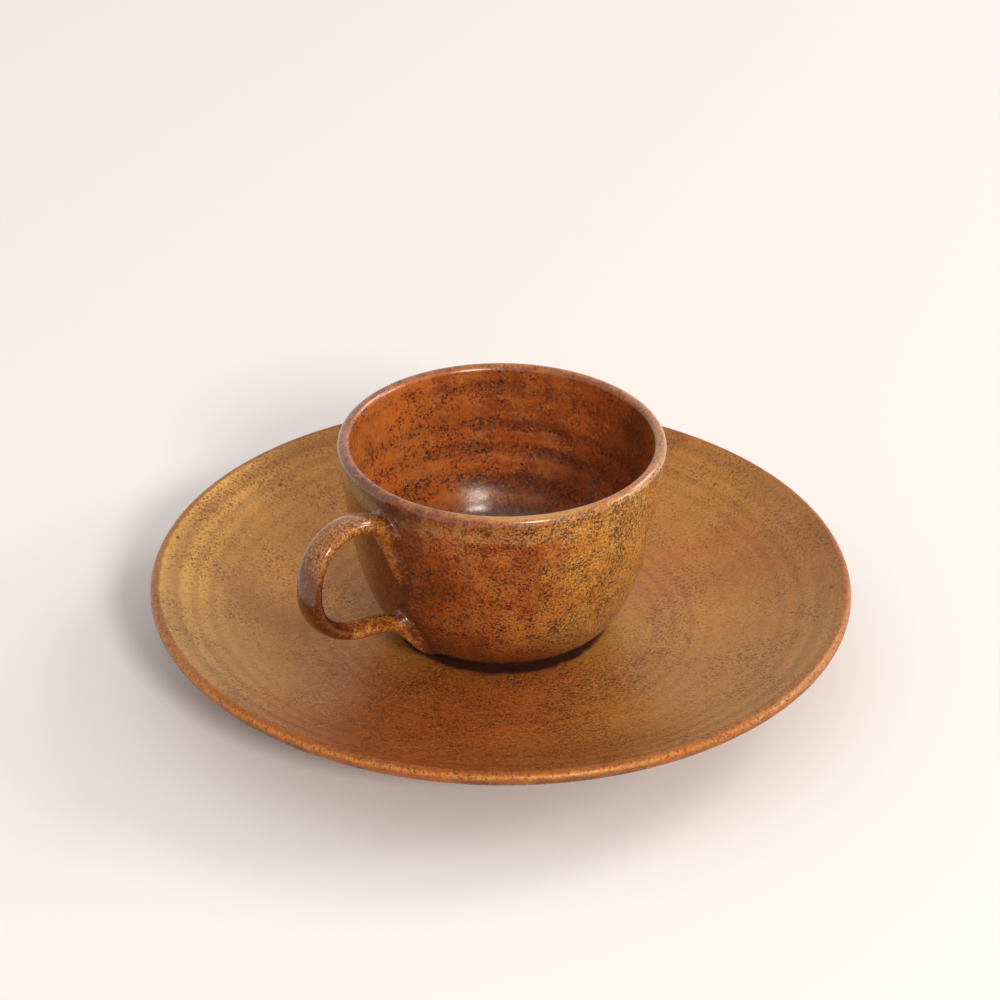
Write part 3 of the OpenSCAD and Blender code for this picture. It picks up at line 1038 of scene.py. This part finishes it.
def strap_clouds(g, along):
    """Brown, with tan and ochre towards the upper root and sienna and ochre towards the lower one."""
    brown = g.mix(g.clouds(4.0, 0.42, 0.6), RUST_DARK, RUST)
    upper = g.mix(g.clouds(2.0, 0.4, 0.6), TAN, OCHRE)
    colour = g.mix(g.ramp(along, 0.36, 0.2, 0, 0.65), brown, upper)
    lower = g.mix(g.clouds(2.0, 0.42, 0.58), SIENNA, OCHRE)
    colour = g.mix(g.ramp(along, 0.58, 0.66), colour, lower)
    return g.mix(g.clouds(3.0, 0.46, 0.62, 0, 0.35), colour, g.mix(0.5, RUST, ORANGE))


def handle_specks(g, colour, along):
    """Flecks and freckles, with a dark stretch down the outermost part."""
    colour = flecked(g, colour, OCHRE, 0.5)
    colour = peppered(g, colour, RUST_DARK, 5.0, 0.9, 0.5, 0.8)
    middle = g.band(along, 0.30, 0.58, 0.08)
    colour = g.mix(g.times(middle, 0.7), colour, g.mix(0.4, BLACK_BROWN, RUST_DARK))
    colour = flecked(g, colour, SIENNA, 0.4, 1.1)
    return peppered(g, colour, RUST_DARK, 4.0, 0.2, 0.9)


def handle_glaze():
    g = Glaze("handle_glaze_ochre")
    along = g.swaying(g.mask("along"), 6.0, 0.3)
    tail = g.ramp(g.wavering(g.mask("stand"), 2.5, 1.6), 3.6, 2.0)
    colour = strap_clouds(g, along)
    rusty = g.mix(g.clouds(4.0, 0.4, 0.7, 0.1, 0.6, 2.0), RUST_DARK, RUST)
    colour = g.mix(tail, colour, g.mix(0.4, rusty, PURPLE))
    colour = handle_specks(g, colour, along)
    off_tail = g.math("SUBTRACT", 1.0, tail)
    edges = g.times(g.ramp(g.mask("bulge"), 0.45, 0.8), off_tail, 0.7)
    colour = g.mix(edges, colour, RUST)
    outer = g.ramp(g.wavering(g.x, 5.0, 8.0), -51.0, -55.0)
    far = g.times(outer, g.ramp(g.wavering(g.y, 2.5, 2.0), 0.5, 2.6), 0.2)
    colour = g.mix(far, colour, SLATE)
    pooled_glaze_and_shadow = g.ramp(g.wavering(g.mask("pool"), 2.4, 0.8), 1.0, 1.4, 0, 0.6)
    colour = g.mix(pooled_glaze_and_shadow, colour, PURPLE)
    skin(g, 0.8)
    return g.finish(
        colour, satin(g, 0.18, 0.32),
        IOR=1.35, Specular_Tint=SOFT_SHEEN, Coat_Weight=0.75, Coat_Roughness=0.1)


# The pieces

def dress(piece, material, body, node):
    piece.data.materials.append(material)
    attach(piece, body)
    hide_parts(node)


def build_saucer():
    """Masks: the finger marks, millimetres in from the widest point, the underside and the foot."""
    outline = saucer_outline()
    piece = lathe("saucer_dish", outline, SAUCER_SIDES, saucer_relief)
    along = along_outline(outline)
    widest = along[np.argmax(outline[:, 0])]
    under = smooth(widest - 0.6, widest + 0.6, along)
    foot = under * smooth(SAUCER_FOOT_H - 0.4, 0.6, outline[:, 1])
    r, _, angle = wheel_places(piece)
    keep_mask(piece, "ring", ripple(r, angle, *SAUCER_RINGS))
    keep_mask(piece, "edge", round_the_wheel(widest - along, SAUCER_SIDES))
    keep_mask(piece, "under", round_the_wheel(under, SAUCER_SIDES))
    keep_mask(piece, "foot", round_the_wheel(foot, SAUCER_SIDES))
    dress(piece, saucer_glaze(), "saucer", "saucer")


def build_cup():
    """Masks: the finger marks, the inside, millimetres down from the top of the lip, and the foot."""
    outline = cup_outline()
    piece = lathe("cup_bowl", outline, CUP_SIDES, cup_relief)
    along = along_outline(outline)
    top = along[np.argmax(outline[:, 1])]
    height = outline[:, 1] - SEAT_Z
    inside = smooth(top - 0.6, top + 0.6, along)
    foot = (along < top) * smooth(CUP_FOOT_H + 0.1, CUP_FOOT_H - 0.7, height)
    r, z, angle = wheel_places(piece)
    keep_mask(piece, "ring", cup_rings(r, z - SEAT_Z, angle))
    keep_mask(piece, "inside", round_the_wheel(inside, CUP_SIDES))
    keep_mask(piece, "down", round_the_wheel(np.abs(along - top), CUP_SIDES))
    keep_mask(piece, "foot", round_the_wheel(foot, CUP_SIDES))
    dress(piece, cup_glaze(), "cup", "cup_body")


def near_tips(points):
    """1 at the tips of the tails, and 0 well away from them."""
    near_end = -4
    pool = np.zeros(len(points))
    for middle, *_ in TAILS:
        distance = np.linalg.norm(points - middle[near_end], axis=1)
        pool = np.maximum(pool, smooth(7.0, 2.0, distance))
    return pool


def build_handle():
    """Masks: the bulge, the share along the strap, millimetres off the wall, and the tails' tips."""
    piece = pulled_handle()
    points = read_points(piece) / MM - (0, 0, SEAT_Z)
    keep_mask(piece, "bulge", curvature(piece, 3))
    keep_mask(piece, "along", strap_place(-points[:, 0], points[:, 2])[0])
    keep_mask(piece, "stand", wall_distance(points))
    keep_mask(piece, "pool", near_tips(points))
    dress(piece, handle_glaze(), "cup", "handle")


# Floor, light and camera

# Half the floor's width, and where it starts and ends to fade, in metres
FLOOR_HALF = 4.0
FADE_START = 0.8
FADE_END = 2.0

# Strength of the room's light on the object, and of the backdrop that is seen
ROOM_LIGHT = 0.61
BACKDROP_LIGHT = 1.0

# The lamps' distance in metres
LAMP_DISTANCE = 2.0

# Each lamp's name, direction in the camera's plan, width in metres and power in watts
LAMPS = [
    ("key_lamp", (0.76, 0.48, 0.58), 0.7, 10.2),
    ("side_lamp", (0.92, 0.06, 0.40), 0.5, 8.2),
    ("front_lamp", (0.33, -0.76, 0.47), 0.42, 23.4),
]

# The camera's place in its own plan, in millimetres, and its turn, tilt and roll in radians
CAMERA_PLACE = (0, -502.41, 333.75)
CAMERA_YAW = -0.000722
CAMERA_PITCH = 0.530956
CAMERA_ROLL = 0.007584
CAMERA_LENS = 90
CAMERA_SENSOR = 36


def facing(direction):
    """Turns a direction from the camera's plan, x right and y away, into the frame's."""
    x, y, z = direction
    share = math.sqrt(0.5)
    return Vector((share * (x + y), share * (y - x), z))


def fade_into_backdrop(tree, shader):
    """Lets the far floor go over into the backdrop, so that low views have no horizon."""
    place = tree.nodes.new("ShaderNodeTexCoord")
    reach = tree.nodes.new("ShaderNodeVectorMath")
    reach.operation = "LENGTH"
    fade = tree.nodes.new("ShaderNodeMapRange")
    fade.interpolation_type = "SMOOTHSTEP"
    fade.inputs["From Min"].default_value = FADE_START
    fade.inputs["From Max"].default_value = FADE_END
    clear = tree.nodes.new("ShaderNodeBsdfTransparent")
    blend = tree.nodes.new("ShaderNodeMixShader")
    tree.links.new(place.outputs["Object"], reach.inputs[0])
    tree.links.new(reach.outputs["Value"], fade.inputs["Value"])
    tree.links.new(fade.outputs["Result"], blend.inputs[0])
    tree.links.new(shader.outputs[0], blend.inputs[1])
    tree.links.new(clear.outputs[0], blend.inputs[2])
    tree.links.new(blend.outputs[0], tree.nodes["Material Output"].inputs["Surface"])


def floor_material():
    material = bpy.data.materials.new("pale_floor")
    material.use_nodes = True
    shader = material.node_tree.nodes["Principled BSDF"]
    shader.inputs["Base Color"].default_value = linear(244, 239, 236)
    shader.inputs["Roughness"].default_value = 0.8
    shader.inputs["Specular IOR Level"].default_value = 0.2
    fade_into_backdrop(material.node_tree, shader)
    return material


def build_floor():
    mesh = bpy.data.meshes.new("floor")
    signs = ((-1, -1), (1, -1), (1, 1), (-1, 1))
    mesh.from_pydata([(x * FLOOR_HALF, y * FLOOR_HALF, 0) for x, y in signs], [], [(0, 1, 2, 3)])
    floor = bpy.data.objects.new("floor", mesh)
    bpy.context.scene.collection.objects.link(floor)
    mesh.materials.append(floor_material())


def background(tree, colour, strength):
    made = tree.nodes.new("ShaderNodeBackground")
    made.inputs["Color"].default_value = colour
    made.inputs["Strength"].default_value = strength
    return made.outputs[0]


def build_world():
    """A soft room whose backdrop is seen by the camera, by reflections and through glass."""
    world = bpy.data.worlds.new("soft_room")
    bpy.context.scene.world = world
    world.use_nodes = True
    tree = world.node_tree
    tree.nodes.clear()
    path = tree.nodes.new("ShaderNodeLightPath")
    seen = path.outputs["Is Camera Ray"]
    for ray in ("Is Glossy Ray", "Is Transmission Ray"):
        either = tree.nodes.new("ShaderNodeMath")
        either.operation = "MAXIMUM"
        tree.links.new(seen, either.inputs[0])
        tree.links.new(path.outputs[ray], either.inputs[1])
        seen = either.outputs[0]
    blend = tree.nodes.new("ShaderNodeMixShader")
    out = tree.nodes.new("ShaderNodeOutputWorld")
    tree.links.new(seen, blend.inputs[0])
    tree.links.new(background(tree, linear(255, 252, 249), ROOM_LIGHT), blend.inputs[1])
    tree.links.new(background(tree, linear(246, 240, 233), BACKDROP_LIGHT), blend.inputs[2])
    tree.links.new(blend.outputs[0], out.inputs["Surface"])


def build_lamp(name, direction, width, power):
    lamp = bpy.data.lights.new(name, "AREA")
    lamp.shape = "DISK"
    lamp.size = width
    lamp.energy = power
    lamp.color = linear(255, 250, 244)[:3]
    holder = bpy.data.objects.new(name, lamp)
    place = facing(direction).normalized() * LAMP_DISTANCE
    holder.location = place
    holder.rotation_euler = (-place).to_track_quat("-Z", "Y").to_euler()
    bpy.context.scene.collection.objects.link(holder)


def build_camera():
    yaw, pitch, roll = CAMERA_YAW, CAMERA_PITCH, CAMERA_ROLL
    level_share = math.cos(pitch)
    ahead = Vector((math.sin(yaw) * level_share, math.cos(yaw) * level_share, -math.sin(pitch)))
    level = Vector((math.cos(yaw), -math.sin(yaw), 0))
    rise = level.cross(ahead)
    right = level * math.cos(roll) + rise * math.sin(roll)
    up = rise * math.cos(roll) - level * math.sin(roll)
    axes = [facing(right), facing(up), facing(-ahead)]
    place = facing(CAMERA_PLACE) * MM
    eye = bpy.data.cameras.new("camera")
    eye.lens = CAMERA_LENS
    eye.sensor_width = CAMERA_SENSOR
    camera = bpy.data.objects.new("camera", eye)
    camera.matrix_world = Matrix.Translation(place) @ Matrix(axes).transposed().to_4x4()
    bpy.context.scene.collection.objects.link(camera)
    bpy.context.scene.camera = camera


build_camera()
build_saucer()
build_cup()
build_handle()
build_floor()
build_world()
for lamp_settings in LAMPS:
    build_lamp(*lamp_settings)
bpy.context.scene.view_settings.view_transform = "Standard"
